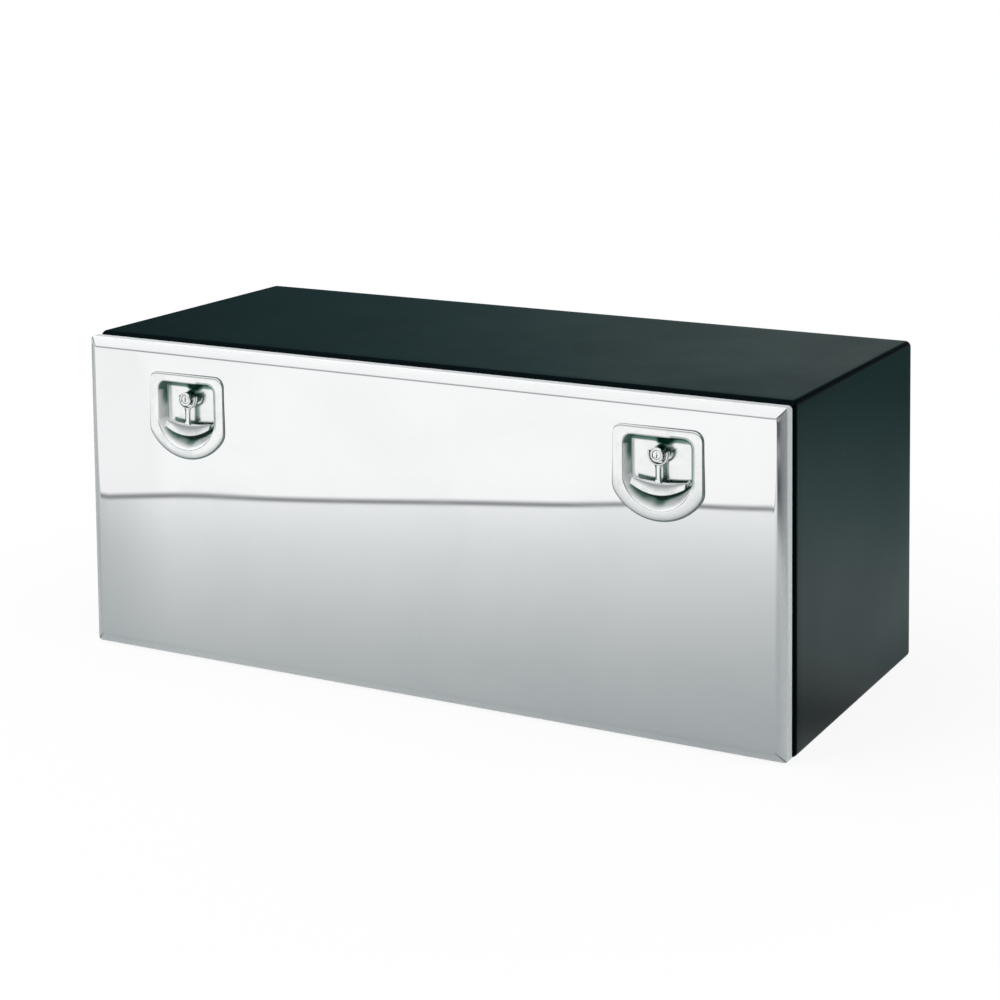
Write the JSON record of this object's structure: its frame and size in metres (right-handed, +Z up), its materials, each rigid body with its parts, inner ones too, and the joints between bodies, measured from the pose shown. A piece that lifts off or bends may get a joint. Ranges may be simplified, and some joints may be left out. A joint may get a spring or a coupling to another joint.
{
  "type": "underbody truck tool box",
  "caption": "Black steel underbody tool box with a polished stainless drop-down door, folding-handle locks and slotted door stays.",
  "frame": {"origin": "centre of the box's underside, midway across its width and midway through its body's depth", "axes": "+X along the width to the right of someone facing the door, +Y from the door to the back, +Z up"},
  "size_m": [1.2, 0.502, 0.5],
  "materials": {
    "back_panel": "satin black powder coat",
    "body_wrap": "satin black powder coat",
    "cam_nut_left": "bright zinc plate",
    "cam_nut_right": "bright zinc plate",
    "cam_washer_left": "bright zinc plate",
    "cam_washer_right": "bright zinc plate",
    "door_brace_left": "bright zinc plate",
    "door_brace_right": "bright zinc plate",
    "door_inner_panel": "satin black powder coat",
    "door_seal": "matt black",
    "door_skin": "polished stainless",
    "handle_left": "chrome plated",
    "handle_pin_left_inner": "bright zinc plate",
    "handle_pin_left_outer": "bright zinc plate",
    "handle_pin_right_inner": "bright zinc plate",
    "handle_pin_right_outer": "bright zinc plate",
    "handle_right": "chrome plated",
    "hinge_body_leaf": "polished stainless",
    "hinge_door_leaf": "polished stainless",
    "hinge_pin": "bright zinc plate",
    "hub_nut_left": "bright zinc plate",
    "hub_nut_right": "bright zinc plate",
    "latch_dish_left": "polished stainless",
    "latch_dish_right": "polished stainless",
    "latch_gasket_left": "matt black",
    "latch_gasket_right": "matt black",
    "lock_cam_left": "bright zinc plate",
    "lock_cam_right": "bright zinc plate",
    "lock_hub_left": "chrome plated",
    "lock_hub_right": "chrome plated",
    "lock_plug_left": "chrome plated",
    "lock_plug_right": "chrome plated",
    "lock_spindle_left": "bright zinc plate",
    "lock_spindle_right": "bright zinc plate",
    "stay_arm_left": "bright zinc plate",
    "stay_arm_right": "bright zinc plate",
    "stay_bracket_left": "bright zinc plate",
    "stay_bracket_right": "bright zinc plate",
    "stay_rivet_left": "bright zinc plate",
    "stay_rivet_right": "bright zinc plate",
    "stay_stud_left": "bright zinc plate",
    "stay_stud_right": "bright zinc plate",
    "striker_left": "bright zinc plate",
    "striker_right": "bright zinc plate",
    "top_channel_left": "satin black powder coat",
    "top_channel_right": "satin black powder coat"
  },
  "bodies": {
    "cabinet": {"body_wrap": "body_wrap", "back_panel": "back_panel", "top_channel_left": "top_channel_left", "top_channel_right": "top_channel_right", "door_seal": "door_seal", "striker_left": "striker_left", "striker_right": "striker_right", "hinge_body_leaf": "hinge_body_leaf", "hinge_pin": "hinge_pin", "stay_stud_left": "stay_stud_left", "stay_stud_right": "stay_stud_right"},
    "door": {"door_skin": "door_skin", "door_inner_panel": "door_inner_panel", "door_brace_left": "door_brace_left", "door_brace_right": "door_brace_right", "hinge_door_leaf": "hinge_door_leaf", "stay_bracket_left": "stay_bracket_left", "stay_bracket_right": "stay_bracket_right", "stay_rivet_left": "stay_rivet_left", "stay_rivet_right": "stay_rivet_right", "latch_dish_left": "latch_dish_left", "latch_dish_right": "latch_dish_right", "latch_gasket_left": "latch_gasket_left", "latch_gasket_right": "latch_gasket_right", "lock_hub_left": "lock_hub_left", "lock_hub_right": "lock_hub_right", "hub_nut_left": "hub_nut_left", "hub_nut_right": "hub_nut_right"},
    "stay_left": {"stay_arm_left": "stay_arm_left"},
    "stay_right": {"stay_arm_right": "stay_arm_right"},
    "handle_left": {"handle_left": "handle_left", "handle_pin_left_inner": "handle_pin_left_inner", "handle_pin_left_outer": "handle_pin_left_outer"},
    "handle_right": {"handle_right": "handle_right", "handle_pin_right_inner": "handle_pin_right_inner", "handle_pin_right_outer": "handle_pin_right_outer"},
    "lock_left": {"lock_plug_left": "lock_plug_left", "lock_spindle_left": "lock_spindle_left", "lock_cam_left": "lock_cam_left", "cam_washer_left": "cam_washer_left", "cam_nut_left": "cam_nut_left"},
    "lock_right": {"lock_plug_right": "lock_plug_right", "lock_spindle_right": "lock_spindle_right", "lock_cam_right": "lock_cam_right", "cam_washer_right": "cam_washer_right", "cam_nut_right": "cam_nut_right"}
  },
  "joints": [
    {"name": "door_hinge", "type": "hinge", "parent": "cabinet", "child": "door", "pos_m": [0, -0.23725, 0.0055], "axis": [1, 0, 0], "range_deg": [0, 90]},
    {"name": "stay_left_pivot", "type": "hinge", "parent": "door", "child": "stay_left", "pos_m": [-0.554, -0.21225, 0.2055], "axis": [1, 0, 0], "range_deg": [-45, 0]},
    {"name": "stay_right_pivot", "type": "hinge", "parent": "door", "child": "stay_right", "pos_m": [0.554, -0.21225, 0.2055], "axis": [1, 0, 0], "range_deg": [-45, 0]},
    {"name": "handle_left_fold", "type": "hinge", "parent": "door", "child": "handle_left", "pos_m": [-0.406, -0.261, 0.4135], "axis": [-1, 0, 0], "range_deg": [0, 90]},
    {"name": "handle_right_fold", "type": "hinge", "parent": "door", "child": "handle_right", "pos_m": [0.406, -0.261, 0.4135], "axis": [-1, 0, 0], "range_deg": [0, 90]},
    {"name": "lock_left_turn", "type": "hinge", "parent": "door", "child": "lock_left", "pos_m": [-0.406, -0.268, 0.4135], "axis": [0, -1, 0], "range_deg": [0, 90]},
    {"name": "lock_right_turn", "type": "hinge", "parent": "door", "child": "lock_right", "pos_m": [0.406, -0.268, 0.4135], "axis": [0, 1, 0], "range_deg": [0, 90]}
  ],
  "couplings": [
    {"joint": "stay_left_pivot", "follows": "door_hinge", "ratio": -0.5},
    {"joint": "stay_right_pivot", "follows": "door_hinge", "ratio": -0.5}
  ]
}
